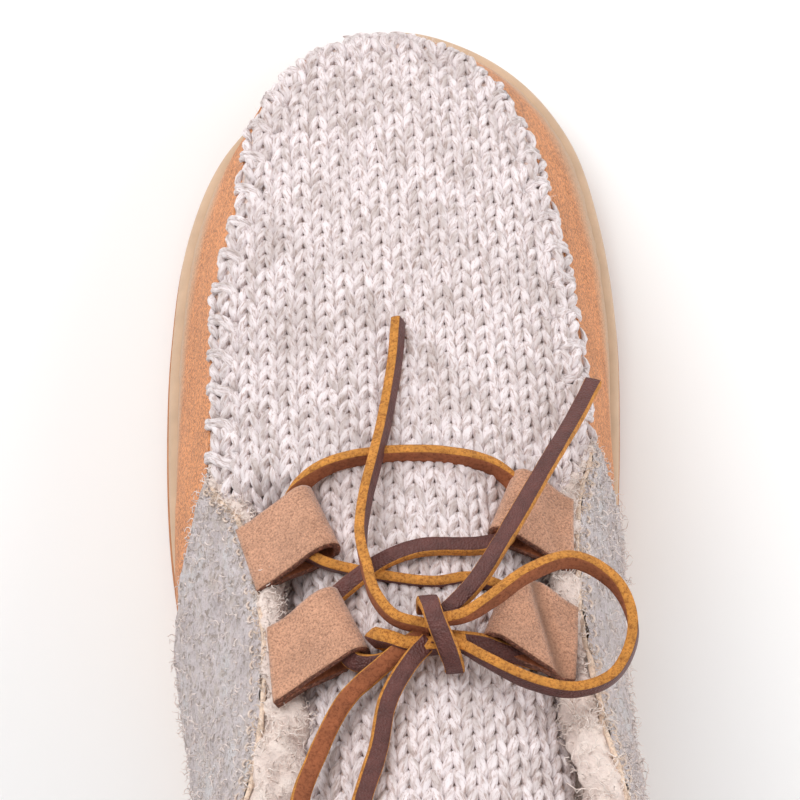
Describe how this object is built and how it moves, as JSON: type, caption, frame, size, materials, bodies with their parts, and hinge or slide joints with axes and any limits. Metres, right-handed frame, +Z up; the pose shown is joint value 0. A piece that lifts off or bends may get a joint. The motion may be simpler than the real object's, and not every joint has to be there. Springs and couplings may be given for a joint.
{
  "type": "moccasin slipper",
  "caption": "Laced ankle-height moccasin slipper for the left foot, with a knitted apron and tongue, felt quarters, a fleece lining and a thin sole.",
  "frame": {"origin": "centre of the bounding box of the slipper without its lace bow, at the height it stands on", "axes": "-Y towards the toe, +Y towards the heel, +Z up, -X towards the medial side"},
  "size_m": [0.1008, 0.263, 0.1109],
  "materials": {
    "rubber": "matte rust-coloured gum rubber",
    "foxing": "smooth pale beige, soft matte",
    "felt": "felted wool, mottled grey oatmeal, fuzzy",
    "knit": "oatmeal marl stockinette knit, matte",
    "fleece": "cream sheepskin fleece",
    "suede": "tan suede with a short nap",
    "lace": "flat leather lace, dark grain side and ochre cut edges"
  },
  "bodies": {
    "root": {"outsole": "rubber", "midsole": "foxing", "insole": "fleece", "upper": "felt", "tongue": "knit", "tab_front_lateral": "suede", "tab_front_medial": "suede", "tab_rear_lateral": "suede", "tab_rear_medial": "suede", "lace_front_bar": "lace", "lace_crossing": "lace", "lace_rear_bar": "lace", "lace_knot": "lace", "lace_loop_medial": "lace", "lace_loop_lateral": "lace", "lace_end_toe": "lace", "lace_end_medial": "lace"}
  },
  "joints": []
}
